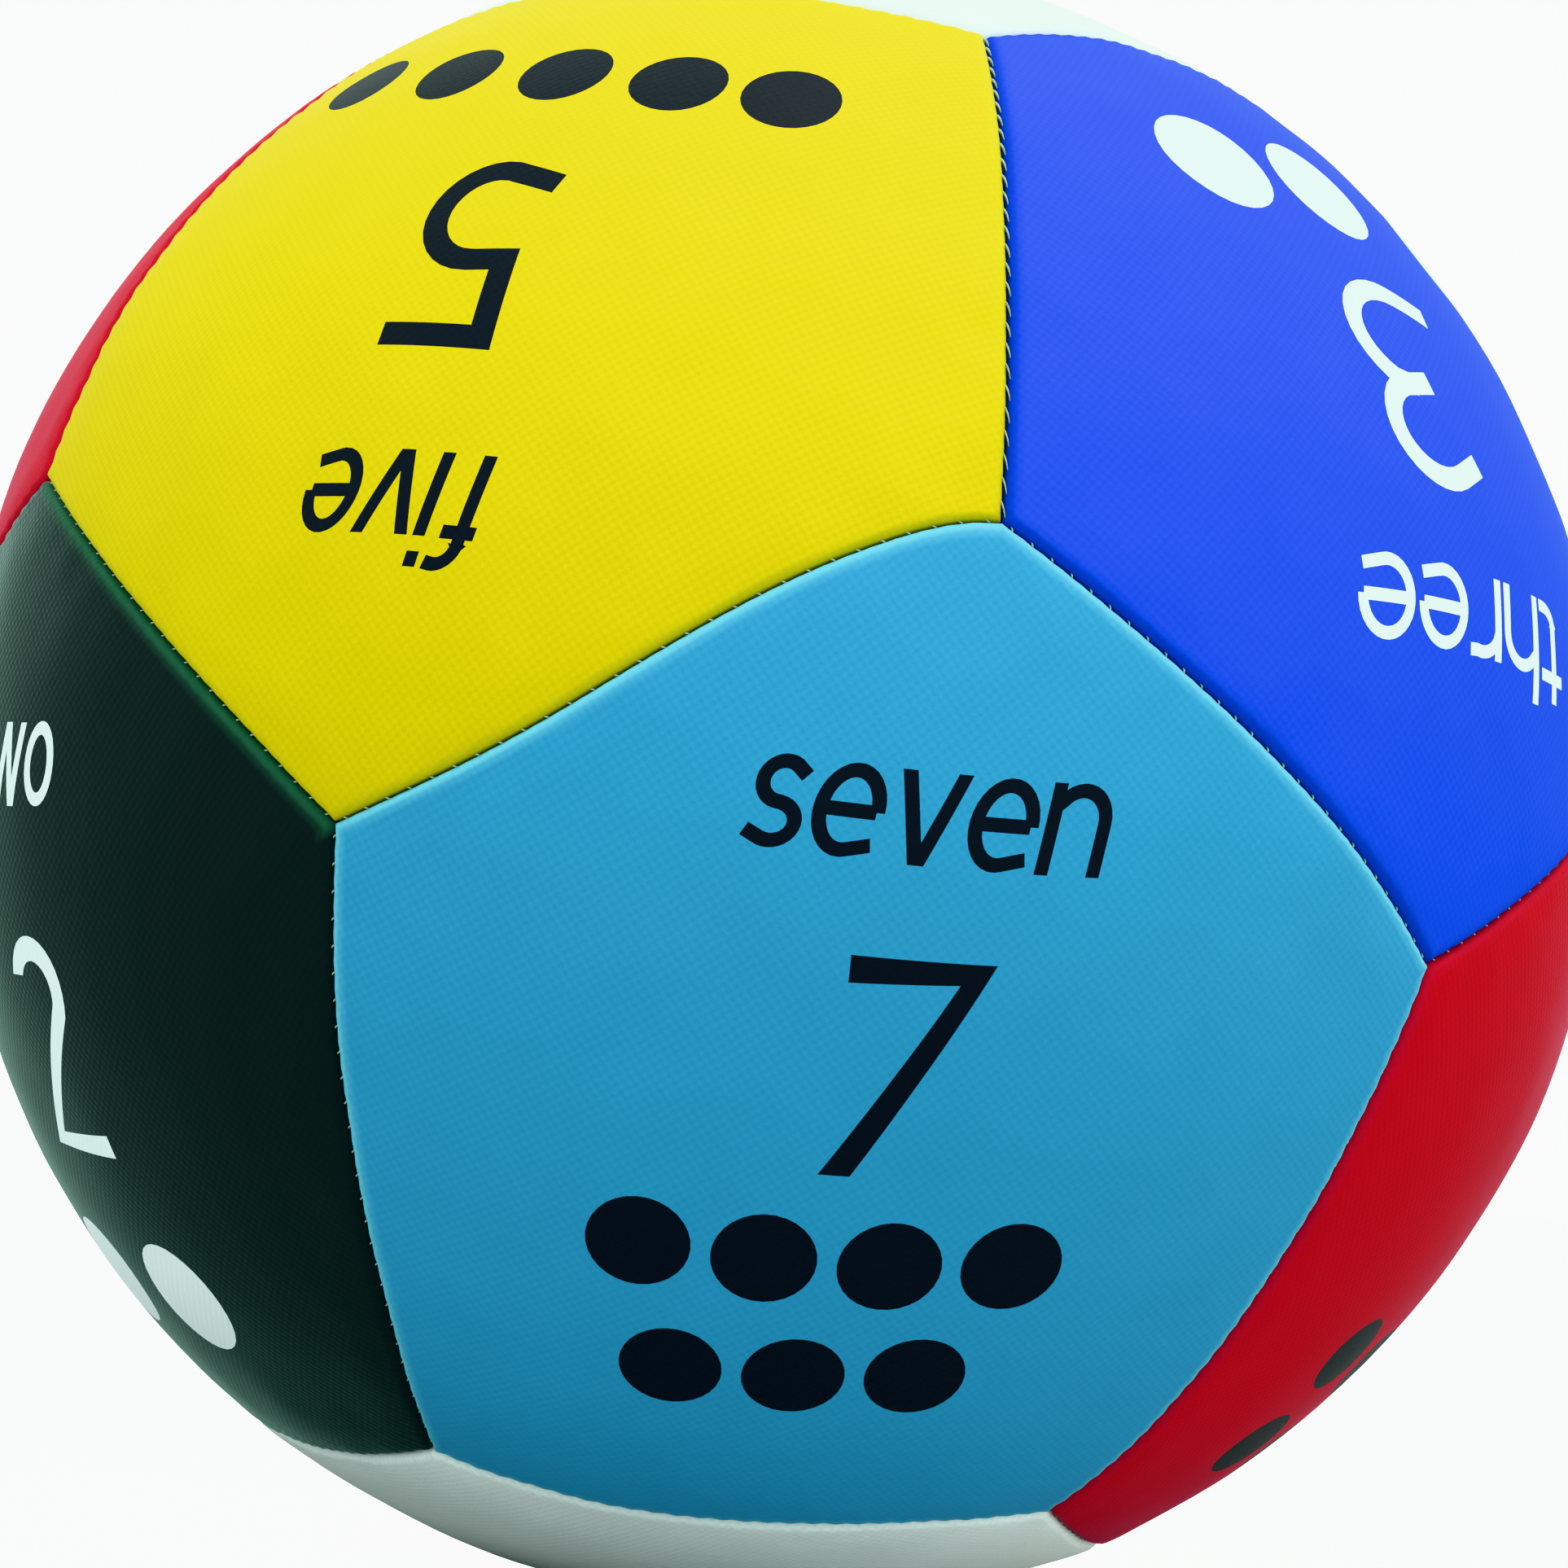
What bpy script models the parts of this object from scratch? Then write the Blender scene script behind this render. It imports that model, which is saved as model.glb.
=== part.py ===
"""Soft number ball: twelve stuffed fabric pentagons, sewn edge to edge round loose fibre.

It stands on panel one, with panel seven facing -Y. Units are metres, +Z is up, and the
origin is on the floor under the ball's centre. Nothing in it turns or slides: the cloth,
the seams and the filling are one soft body.
"""

import itertools
import math

import bpy
from mathutils import Matrix, Vector

MM = 0.001

# Driving dimensions
BALL_RADIUS = 100 * MM
PRESSED_FLAT = 2.4 * MM  # how far its own weight flattens the panel it stands on
CLOTH = 1.0 * MM
EDGE_ROLL = 1.4 * MM  # radius the cloth turns over at a seam
ALLOWANCE = 4.5 * MM  # seam allowance below the roll
SEAM_GAP = 0.3 * MM
THREAD_RADIUS = 0.22 * MM
THREAD_DEPTH = 0.55 * MM  # thread's centre below the ball's surface
THREAD_TRIM = 1.0 * MM  # each seam is fastened off this far from its corners
FILLING_GAP = 1.0 * MM  # cloth to filling
FILLING_SHOULDER = 3.6 * MM  # from the seam to where the filling starts to dip
FILLING_DIP = 11.0 * MM  # depth of the filling's valley under a seam

# Mesh fineness
SEAM_STEPS = 6
ROLL_STEPS = 2
THREAD_BEVEL = 2

CENTRE = Vector((0, 0, BALL_RADIUS - PRESSED_FLAT))
REST_ANGLE = math.acos(CENTRE.z / BALL_RADIUS)  # half-angle of the flat patch
RING = math.degrees(math.atan(0.5))  # latitude of a dodecahedron's middle faces

# Panel number: word, colour, latitude, bearing from -Y towards +X. Opposite panels share
# a colour, and their numbers make thirteen.
PANELS = {
    1: ("one", "white", -90, 0),
    2: ("two", "green", -RING, -72),
    3: ("three", "blue", RING, 36),
    4: ("four", "red", RING, -108),
    5: ("five", "yellow", RING, -36),
    6: ("six", "cyan", RING, 180),
    7: ("seven", "cyan", -RING, 0),
    8: ("eight", "yellow", -RING, 144),
    9: ("nine", "red", -RING, 72),
    10: ("ten", "blue", -RING, -144),
    11: ("eleven", "green", RING, 108),
    12: ("twelve", "white", 90, 0),
}

# Hand-sewn corners miss the true corners by a few millimetres: (east, north).
CORNER_DRIFT = {
    (1, 2, 7): (-2.5, -4.8),
    (1, 7, 9): (-3.5, -0.8),
    (2, 4, 5): (2.0, -1.0),
    (2, 5, 7): (-0.6, 0.5),
    (3, 5, 7): (1.2, 1.3),
    (3, 5, 12): (0.3, 0.0),
    (3, 7, 9): (-1.0, 3.1),
    (4, 6, 10): (2.0, 1.5),
    (6, 8, 11): (-2.5, 1.0),
    (8, 9, 11): (1.5, -2.0),
    (4, 5, 12): (-1.5, 1.0),
}

# Seams that bow: (panel it bows towards, bow in mm, S-wave in mm).
SEAM_WANDER = {
    (1, 7): (7, 2.4, -1.1),
    (2, 5): (5, 1.8, 0.0),
    (2, 7): (7, 1.4, 0.3),
    (3, 5): (5, 0.4, 0.0),
    (3, 7): (3, 0.8, -0.3),
    (3, 12): (12, 2.5, 0.5),
    (5, 7): (5, 0.9, -1.3),
    (5, 12): (5, 4.5, 1.6),
    (7, 9): (7, 1.7, -0.6),
    (6, 10): (6, 1.0, 0.8),
    (8, 9): (8, 1.2, 0.0),
}

CLOSING_SEAM = (6, 11)  # left open for stuffing, then closed by hand

COLOURS = {
    "white": (0.78, 0.84, 0.84, 1),
    "green": (0.009, 0.036, 0.027, 1),
    "blue": (0.012, 0.085, 0.90, 1),
    "red": (0.52, 0.004, 0.008, 1),
    "yellow": (0.86, 0.70, 0.006, 1),
    "cyan": (0.035, 0.31, 0.52, 1),
    "thread": (0.72, 0.74, 0.68, 1),
    "fibre": (0.86, 0.86, 0.84, 1),
}


def clear_scene():
    for thing in list(bpy.data.objects):
        bpy.data.objects.remove(thing, do_unlink=True)


def direction(latitude, bearing):
    lat, turn = math.radians(latitude), math.radians(bearing)
    return Vector((math.cos(lat) * math.sin(turn), -math.cos(lat) * math.cos(turn), math.sin(lat)))


FACE = {number: direction(lat, bearing) for number, (_, _, lat, bearing) in PANELS.items()}


def touching(a, b):
    """Neighbouring faces of a dodecahedron lean 63.4 degrees apart."""
    return abs(FACE[a].dot(FACE[b]) - 1 / math.sqrt(5)) < 0.01


CORNERS = [
    trio
    for trio in itertools.combinations(sorted(PANELS), 3)
    if all(touching(a, b) for a, b in itertools.combinations(trio, 2))
]
SEAMS = [pair for pair in itertools.combinations(sorted(PANELS), 2) if touching(*pair)]


def corner_point(trio):
    """Unit vector to a corner, moved by its sewing drift."""
    true = sum((FACE[n] for n in trio), Vector()).normalized()
    east = Vector((0, 0, 1)).cross(true).normalized()
    north = true.cross(east)
    right, up = CORNER_DRIFT.get(trio, (0, 0))
    return (true + (east * right + north * up) * MM / BALL_RADIUS).normalized()


def seam_line(pair):
    """Unit vectors along a seam, from its first corner to its last."""
    start, end = [corner_point(trio) for trio in CORNERS if set(pair) <= set(trio)]
    leaning, bow, wave = SEAM_WANDER.get(pair, (pair[0], 0, 0))
    aside = start.cross(end).normalized()
    if aside.dot(FACE[leaning]) < 0:
        aside.negate()
    line = []
    for step in range(SEAM_STEPS + 1):
        along = step / SEAM_STEPS
        off = 4 * bow * along * (1 - along) + wave * math.sin(2 * math.pi * along)
        line.append((start.slerp(end, along) + aside * off * MM / BALL_RADIUS).normalized())
    return line


SEAM_LINES = {pair: seam_line(pair) for pair in SEAMS}


def outline(number):
    """The panel's seams as one closed loop, anticlockwise from outside."""
    runs = [list(SEAM_LINES[pair]) for pair in SEAMS if number in pair]
    loop = runs.pop(0)
    while runs:
        run = min(runs, key=lambda r: min((loop[-1] - r[0]).length, (loop[-1] - r[-1]).length))
        runs.remove(run)
        if (loop[-1] - run[0]).length > (loop[-1] - run[-1]).length:
            run.reverse()
        loop += run[1:]
    loop.pop()
    turning = sum((a.cross(b) for a, b in zip(loop, loop[1:] + loop[:1])), Vector())
    return loop if turning.dot(FACE[number]) > 0 else loop[::-1]


def inset(loop, distance):
    """The loop moved inwards over the sphere by a distance, with mitred corners."""
    walls = [(a.cross(b)).normalized() for a, b in zip(loop, loop[1:] + loop[:1])]
    moved = []
    for i, point in enumerate(loop):
        inward = (walls[i - 1] + walls[i]).normalized()
        lean = math.asin(math.sin(distance / BALL_RADIUS) / inward.dot(walls[i]))
        moved.append(point * math.cos(lean) + inward * math.sin(lean))
    return moved


def between(centre, ring, share):
    return [centre.slerp(point, share) for point in ring]


def circle_under(centre, ring, angle):
    """A circle round the centre, with a point under each point of the ring."""
    return [centre.slerp(point, angle / centre.angle(point)) for point in ring]


def set_down(point, floor):
    """The ball's own place in space, with what is under the floor pressed up to it."""
    placed = CENTRE + point
    placed.z = max(placed.z, floor)
    return placed


def cap_mesh(name, rings, centre_point):
    """A surface through closed rings, from the innermost out, closed in the middle."""
    count = len(rings[0])
    points = [point for ring in rings for point in ring]
    faces = []
    for r in range(len(rings) - 1):
        inner, outer = r * count, (r + 1) * count
        for i in range(count):
            j = (i + 1) % count
            faces.append((inner + i, outer + i, outer + j, inner + j))
    if centre_point is None:
        faces.append(tuple(range(count)))
    else:
        middle = len(points)
        points.append(centre_point)
        faces += [(middle, i, (i + 1) % count) for i in range(count)]
    mesh = bpy.data.meshes.new(name)
    mesh.from_pydata(points, [], faces)
    mesh.validate()
    return mesh


def material(name):
    made = bpy.data.materials.get(name)
    if made is None:
        made = bpy.data.materials.new(name)
        made.use_nodes = True
        shader = made.node_tree.nodes["Principled BSDF"]
        shader.inputs["Base Color"].default_value = COLOURS[name]
        shader.inputs["Roughness"].default_value = 0.5 if name == "thread" else 0.75
        shader.inputs["Metallic"].default_value = 0
    return made


def add(name, data, finish, parts):
    piece = bpy.data.objects.new(name, data)
    data.materials.append(material(finish))
    parts.objects.link(piece)
    return piece


def panel(number, parts):
    """One pentagon of cloth: crowned like the ball, rolled over at its edge, and turned in."""
    word, colour, _, _ = PANELS[number]
    centre, edge = FACE[number], outline(number)
    shoulder = inset(edge, SEAM_GAP / 2 + EDGE_ROLL)
    patch = circle_under(centre, shoulder, REST_ANGLE)
    middle = [a.slerp(b, 0.5) for a, b in zip(patch, shoulder)]
    rings = [[v * BALL_RADIUS for v in ring] for ring in (patch, middle, shoulder)]
    for step in range(1, ROLL_STEPS + 1):
        turn = math.pi / 2 * step / ROLL_STEPS
        away = SEAM_GAP / 2 + EDGE_ROLL * (1 - math.sin(turn))
        height = BALL_RADIUS - EDGE_ROLL * (1 - math.cos(turn))
        rings.append([v * height for v in inset(edge, away)])
    rings.append([v * (BALL_RADIUS - EDGE_ROLL - ALLOWANCE) for v in inset(edge, SEAM_GAP / 2)])
    rests = number == 1
    rings = [[set_down(point, 0) for point in ring] for ring in rings]
    crown = None if rests else CENTRE + centre * BALL_RADIUS
    piece = add(f"panel_{word}_{colour}", cap_mesh(f"panel_{word}", rings, crown), colour, parts)
    piece.data.shade_smooth()
    skin = piece.modifiers.new("cloth", "SOLIDIFY")
    skin.thickness = CLOTH
    skin.offset = -1
    return piece


def thread(pair, parts):
    """The row of stitches in one seam, as one thin cord in the groove."""
    line = list(SEAM_LINES[pair])
    for end, inner in ((0, 1), (-1, -2)):
        trim = THREAD_TRIM / (line[end].angle(line[inner]) * BALL_RADIUS)
        line[end] = line[end].slerp(line[inner], trim)
    kind = "closing_thread" if pair == CLOSING_SEAM else "seam_thread"
    name = f"{kind}_{pair[0]}_{pair[1]}"
    cord = bpy.data.curves.new(name, "CURVE")
    cord.dimensions = "3D"
    cord.bevel_depth = THREAD_RADIUS
    cord.bevel_resolution = THREAD_BEVEL
    cord.use_fill_caps = True
    spline = cord.splines.new("POLY")
    spline.points.add(len(line) - 1)
    for knot, v in zip(spline.points, line):
        knot.co = (*(CENTRE + v * (BALL_RADIUS - THREAD_DEPTH)), 1)
    return add(name, cord, "thread", parts)


def filling(parts):
    """Loose fibre that fills each panel's crown and dips under each seam allowance."""
    height = BALL_RADIUS - CLOTH - FILLING_GAP
    floor = CLOTH + FILLING_GAP
    seam_height = BALL_RADIUS - FILLING_DIP
    points, faces, known = [], [], {}

    def index(v, radius):
        key = tuple(round(c, 6) for c in v)
        if key not in known:
            known[key] = len(points)
            points.append(set_down(v * radius, floor))
        return known[key]

    for number, centre in FACE.items():
        edge = outline(number)
        shoulder = inset(edge, FILLING_SHOULDER)
        rings = [
            [index(v, height) for v in circle_under(centre, shoulder, REST_ANGLE)],
            [index(v, height) for v in between(centre, shoulder, 0.7)],
            [index(v, height) for v in shoulder],
            [index(v, seam_height) for v in edge],
        ]
        crown = index(centre, height)
        count = len(edge)
        for i in range(count):
            j = (i + 1) % count
            faces.append((crown, rings[0][i], rings[0][j]))
            for inner, outer in zip(rings, rings[1:]):
                faces.append((inner[i], outer[i], outer[j], inner[j]))
    mesh = bpy.data.meshes.new("fibre_filling")
    mesh.from_pydata(points, [], faces)
    mesh.validate()
    return add("fibre_filling", mesh, "fibre", parts)


def main():
    clear_scene()
    parts = bpy.data.collections.new("soft_number_ball")
    bpy.context.scene.collection.children.link(parts)
    for number in PANELS:
        panel(number, parts)
    for pair in SEAMS:
        thread(pair, parts)
    filling(parts)


main()
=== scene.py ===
"""Looks for the soft number ball: twelve printed cloth panels, their stitches and the filling.

Everything is built on the ball's sphere. A panel has its own flat map in millimetres, with
its middle at (0, 0) and y running to one of its corners, which is the way its print stands.
"""

import itertools
import math
from collections import namedtuple

import bmesh
import bpy
from mathutils import Matrix, Vector, kdtree, noise
from mathutils.geometry import delaunay_2d_cdt


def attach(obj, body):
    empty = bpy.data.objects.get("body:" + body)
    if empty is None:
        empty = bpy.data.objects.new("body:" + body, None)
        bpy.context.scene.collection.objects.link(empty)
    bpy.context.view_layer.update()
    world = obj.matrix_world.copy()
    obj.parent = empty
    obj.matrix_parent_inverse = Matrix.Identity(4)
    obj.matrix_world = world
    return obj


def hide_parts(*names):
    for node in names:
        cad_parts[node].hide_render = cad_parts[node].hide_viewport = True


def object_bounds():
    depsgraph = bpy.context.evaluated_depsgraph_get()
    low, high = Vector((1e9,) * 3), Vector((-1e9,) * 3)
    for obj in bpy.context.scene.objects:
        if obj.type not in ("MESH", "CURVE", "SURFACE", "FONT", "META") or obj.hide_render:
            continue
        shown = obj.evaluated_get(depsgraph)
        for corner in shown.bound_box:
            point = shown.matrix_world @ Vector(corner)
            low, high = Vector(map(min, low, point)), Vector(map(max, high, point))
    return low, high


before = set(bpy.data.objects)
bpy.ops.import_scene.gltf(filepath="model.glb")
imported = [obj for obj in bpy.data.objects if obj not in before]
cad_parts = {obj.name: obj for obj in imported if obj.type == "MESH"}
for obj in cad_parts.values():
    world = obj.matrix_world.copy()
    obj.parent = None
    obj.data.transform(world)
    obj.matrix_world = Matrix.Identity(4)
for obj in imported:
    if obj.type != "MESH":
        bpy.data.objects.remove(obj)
cad_box = [list(map(float, corner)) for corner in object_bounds()]

MM = 0.001

# ---------------------------------------------------------------- the ball, from the frame

LOW, HIGH = (Vector(corner) for corner in cad_box)
RADIUS = (HIGH.x - LOW.x) / 2 / MM  # millimetres, like every size below
TOP = HIGH.z / MM
CENTRE = Vector((0, 0, TOP - RADIUS))  # above the floor it is pressed against

CLOTH = 1.0
SEAM_GAP = 0.24
EDGE_ROLL = 1.0  # radius the cloth turns over at a seam
ALLOWANCE = 4.4  # seam allowance below the roll
SEAM_DIP = 0.5  # the seams pull the cloth in this far below the crowns
DIP_WIDTH = 15.0
STITCHES = 28  # per seam
STEPS = 2 * STITCHES

RING = math.degrees(math.atan(0.5))

# Number: word, colour, latitude, bearing from -Y towards +X, as in the CAD.
PANELS = {
    1: ("one", "white", -90, 0),
    2: ("two", "green", -RING, -72),
    3: ("three", "blue", RING, 36),
    4: ("four", "red", RING, -108),
    5: ("five", "yellow", RING, -36),
    6: ("six", "cyan", RING, 180),
    7: ("seven", "cyan", -RING, 0),
    8: ("eight", "yellow", -RING, 144),
    9: ("nine", "red", -RING, 72),
    10: ("ten", "blue", -RING, -144),
    11: ("eleven", "green", RING, 108),
    12: ("twelve", "white", 90, 0),
}

# The CAD's sewing drift of each corner: (east, north) in mm.
CORNER_DRIFT = {
    (1, 2, 7): (-2.5, -4.8),
    (1, 7, 9): (-3.5, -0.8),
    (2, 4, 5): (2.0, -1.0),
    (2, 5, 7): (-0.6, 0.5),
    (3, 5, 7): (1.2, 1.3),
    (3, 5, 12): (0.3, 0.0),
    (3, 7, 9): (-1.0, 3.1),
    (4, 6, 10): (2.0, 1.5),
    (6, 8, 11): (-2.5, 1.0),
    (8, 9, 11): (1.5, -2.0),
    (4, 5, 12): (-1.5, 1.0),
}
# The CAD's seams that bow: (panel it bows towards, bow in mm, S-wave in mm).
SEAM_WANDER = {
    (1, 7): (7, 2.4, -1.1),
    (2, 5): (5, 1.8, 0.0),
    (2, 7): (7, 1.4, 0.3),
    (3, 5): (5, 0.4, 0.0),
    (3, 7): (3, 0.8, -0.3),
    (3, 12): (12, 2.5, 0.5),
    (5, 7): (5, 0.9, -1.3),
    (5, 12): (5, 4.5, 1.6),
    (7, 9): (7, 1.7, -0.6),
    (6, 10): (6, 1.0, 0.8),
    (8, 9): (8, 1.2, 0.0),
}
# A seam's extra bulge in mm beside one of its corners, towards the panel that it bows towards.
SHOULDER = {((5, 7), (3, 5, 7)): 0.95}
SHOULDER_REACH = 7.0  # the bulge is highest this far from the corner
SEAM_LENGTH = 73.0
CLOSING_SEAM = (6, 11)
GAPING_SEAM = (3, 5)  # its thread shows more than the others'


def direction(latitude, bearing):
    lat, turn = math.radians(latitude), math.radians(bearing)
    return Vector((math.cos(lat) * math.sin(turn), -math.cos(lat) * math.cos(turn), math.sin(lat)))


FACE = {n: direction(lat, bearing) for n, (_, _, lat, bearing) in PANELS.items()}


def touching(a, b):
    """Neighbouring faces of a dodecahedron lean 63.4 degrees apart."""
    return abs(FACE[a].dot(FACE[b]) - 1 / math.sqrt(5)) < 0.01


CORNERS = [
    trio
    for trio in itertools.combinations(sorted(PANELS), 3)
    if all(touching(a, b) for a, b in itertools.combinations(trio, 2))
]
SEAMS = [pair for pair in itertools.combinations(sorted(PANELS), 2) if touching(*pair)]
ENDS = {pair: [trio for trio in CORNERS if set(pair) <= set(trio)] for pair in SEAMS}


def corner_point(trio):
    """Unit vector to a corner, moved by its sewing drift."""
    true = sum((FACE[n] for n in trio), Vector()).normalized()
    east = Vector((0, 0, 1)).cross(true).normalized()
    north = true.cross(east)
    right, up = CORNER_DRIFT.get(trio, (0, 0))
    return (true + (east * right + north * up) / RADIUS).normalized()


CORNER = {trio: corner_point(trio) for trio in CORNERS}


def wander(pair, along):
    """How far a seam lies off its straight run, in mm, and the panel it leans towards."""
    leaning, bow, wave = SEAM_WANDER.get(pair, (pair[0], 0, 0))
    off = 4 * bow * along * (1 - along) + wave * math.sin(2 * math.pi * along)
    for trio, share in zip(ENDS[pair], (along, 1 - along)):
        away = share * SEAM_LENGTH / SHOULDER_REACH
        off += SHOULDER.get((pair, trio), 0) * away * math.exp(1 - away)
    return off, leaning


def corners_round(number):
    """The panel's corners, anticlockwise from outside, as trios."""
    own = [trio for trio in CORNERS if number in trio]
    middle = FACE[number]
    start = (CORNER[own[0]] - middle * CORNER[own[0]].dot(middle)).normalized()
    side = middle.cross(start)

    def turn_of(trio):
        return math.atan2(CORNER[trio].dot(side), CORNER[trio].dot(start)) % (2 * math.pi)

    return sorted(own, key=turn_of)


def ring_at(number, distance, steps):
    """The panel's outline moved in from its seams, as unit vectors, with `steps` to a seam."""
    trios = corners_round(number)
    points = [CORNER[t] for t in trios]
    walls = [a.cross(b).normalized() for a, b in zip(points, points[1:] + points[:1])]
    inner = []
    for i, point in enumerate(points):
        inward = (walls[i - 1] + walls[i]).normalized()
        lean = math.asin(math.sin(distance / RADIUS) / inward.dot(walls[i]))
        inner.append(point * math.cos(lean) + inward * math.sin(lean))
    outline = []
    for i, start in enumerate(inner):
        j = (i + 1) % 5
        pair = tuple(sorted(set(trios[i]) & set(trios[j])))
        forward = trios[i] < trios[j]
        for step in range(steps):
            along = step / steps
            off, leaning = wander(pair, along if forward else 1 - along)
            off *= 1 if leaning == number else -1
            outline.append((start.slerp(inner[j], along) + walls[i] * off / RADIUS).normalized())
    return outline


def seam_run(pair, steps):
    """Points along a seam, each with the unit vector across it, towards the pair's second panel."""
    start, end = [CORNER[trio] for trio in ENDS[pair]]
    aside = start.cross(end).normalized()
    if aside.dot(FACE[pair[1]]) < 0:
        aside.negate()
    run = []
    for step in range(steps + 1):
        off, leaning = wander(pair, step / steps)
        off *= 1 if leaning == pair[1] else -1
        run.append(((start.slerp(end, step / steps) + aside * off / RADIUS).normalized(), aside))
    return run


SEAM_POINTS = [v for pair in SEAMS for v, _ in seam_run(pair, STEPS)]
SEAM_TREE = kdtree.KDTree(len(SEAM_POINTS))
for index, v in enumerate(SEAM_POINTS):
    SEAM_TREE.insert(v, index)
SEAM_TREE.balance()

# ---------------------------------------------------------------- the stuffed shape

# The simulated skin
SKIN_FINENESS = 6  # subdivisions of its icosphere
SLACK_HEIGHT, SLACK_SIZE = 0.2, 9  # its unevenness before it is filled
SEWN_WIDTH = 2.2  # cloth this close to a seam is held by it
PRESSURE = 0.9
STIFFNESS = 15.0
BENDING = 0.05
CLOTH_MASS = 0.15
CLOTH_QUALITY = 6
FULLNESS = 0.004  # extra cloth gathered along the seams, as a share of its length
FULL_WIDTH = 9.0
SETTLING = 20  # frames
LEAST_RISE, MOST_RISE = -0.9, 0.45  # cap on how far the simulation may move the cloth

# Looking up its height
SMOOTHING = 2.4
NEIGHBOURS = 14

# Unevenness added to it: sizes and heights in mm
LUMP = ((38.0, 0.32), (14.0, 0.10))  # of the filling
LUMP_PLACE = Vector((3.1, 7.7, 1.9))  # of the lumps in the noise
PUCKER_HEIGHT = 0.14
PUCKER_START = 1.5  # the puckers are at full height from here
PUCKER_REACH = 7.0
PUCKER_SIZE = 5.0


def smooth(x):
    """A soft step from 0 to 1."""
    x = min(max(x, 0), 1)
    return x * x * (3 - 2 * x)


def stuffed_skin():
    """The cloth skin, held along its seams and blown up by the filling in a cloth simulation.

    Returns a tree of its points' directions and how far each stands above the crowns.
    """
    tidy = bmesh.new()
    bmesh.ops.create_icosphere(tidy, subdivisions=SKIN_FINENESS, radius=RADIUS * MM)
    mesh = bpy.data.meshes.new("skin")
    tidy.to_mesh(mesh)
    tidy.free()
    skin = bpy.data.objects.new("skin", mesh)
    bpy.context.scene.collection.objects.link(skin)
    sewn = skin.vertex_groups.new(name="sewn")
    flat = skin.vertex_groups.new(name="flat")
    crown = []
    for vertex in mesh.vertices:
        v = vertex.co.normalized()
        distance = SEAM_TREE.find(v)[2] * RADIUS
        if distance < SEWN_WIDTH:
            sewn.add([vertex.index], 1, "REPLACE")
        if distance > DIP_WIDTH:
            crown.append(vertex.index)
        flat.add([vertex.index], smooth(distance / FULL_WIDTH), "REPLACE")
        vertex.co = v * (RADIUS + SLACK_HEIGHT * noise.noise(v * RADIUS / SLACK_SIZE)) * MM
    modifier = skin.modifiers.new("cloth", "CLOTH")
    modifier.point_cache.frame_end = SETTLING
    modifier.collision_settings.use_collision = False
    fabric = modifier.settings
    fabric.quality = CLOTH_QUALITY
    fabric.mass = CLOTH_MASS
    fabric.tension_stiffness = STIFFNESS
    fabric.compression_stiffness = STIFFNESS
    fabric.shear_stiffness = STIFFNESS / 2
    fabric.bending_stiffness = BENDING
    fabric.use_pressure = True
    fabric.uniform_pressure_force = PRESSURE
    fabric.vertex_group_mass = "sewn"
    fabric.vertex_group_shrink = "flat"
    fabric.shrink_min = -FULLNESS
    fabric.shrink_max = 0
    fabric.effector_weights.gravity = 0
    for step in range(1, SETTLING + 1):
        bpy.context.scene.frame_set(step)
    settled = skin.evaluated_get(bpy.context.evaluated_depsgraph_get()).to_mesh()
    places = [vertex.co / MM for vertex in settled.vertices]
    level = sum(places[i].length for i in crown) / len(crown)
    tree = kdtree.KDTree(len(places))
    rises = []
    for i, place in enumerate(places):
        tree.insert(place.normalized() * RADIUS, i)
        rises.append(min(max(place.length - level, LEAST_RISE), MOST_RISE))
    tree.balance()
    bpy.data.objects.remove(skin, do_unlink=True)
    bpy.data.meshes.remove(mesh)
    bpy.context.scene.frame_set(1)
    return tree, rises


SKIN = stuffed_skin()


def rise_of_skin(v):
    """The simulated skin's height there, smoothed between its points."""
    tree, rises = SKIN
    total = weights = 0.0
    for _, i, away in tree.find_n(v * RADIUS, NEIGHBOURS):
        weight = math.exp(-((away / SMOOTHING) ** 2) / 2)
        total += rises[i] * weight
        weights += weight
    return total / weights


def swell(v, distance, number):
    """How far the cloth stands above the ball's true radius there, in mm.

    `distance` is from the seams, and each panel's number gives it puckers of its own.
    """
    if SKIN:
        height = rise_of_skin(v)
    else:
        height = -SEAM_DIP * (1 - smooth(distance / DIP_WIDTH))
    for size, rise in LUMP:
        height += rise * noise.noise(v * RADIUS / size + LUMP_PLACE)
    fade = math.exp(-distance / PUCKER_REACH) * smooth(distance / PUCKER_START)
    height += PUCKER_HEIGHT * fade * noise.noise(v * RADIUS / PUCKER_SIZE + Vector((number, 0, 0)))
    return height


def set_down(v, height):
    """A point of the ball in metres, at a height from its centre, pressed up to the floor."""
    place = CENTRE + v * height
    place.z = max(place.z, 0)
    return place * MM


# ---------------------------------------------------------------- flat maps and print

ARC_STEP = 12  # degrees, at most about this much to a side


def map_axes(number, apex):
    """The panel's middle, its x direction and its y direction."""
    middle = FACE[number]
    up = (CORNER[apex] - middle * CORNER[apex].dot(middle)).normalized()
    return middle, up.cross(middle), up


def to_map(v, axes):
    """A unit vector's place on a panel's flat map, in mm."""
    middle, right, up = axes
    angle = middle.angle(v)
    across = math.hypot(v.dot(right), v.dot(up)) or 1
    return Vector((v.dot(right), v.dot(up))) * (angle * RADIUS / across)


def from_map(p, axes):
    """The unit vector to a place on a panel's flat map."""
    middle, right, up = axes
    reach = p.length
    if reach < 1e-6:
        return middle.copy()
    angle = reach / RADIUS
    return middle * math.cos(angle) + (right * p.x + up * p.y) * (math.sin(angle) / reach)


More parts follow.
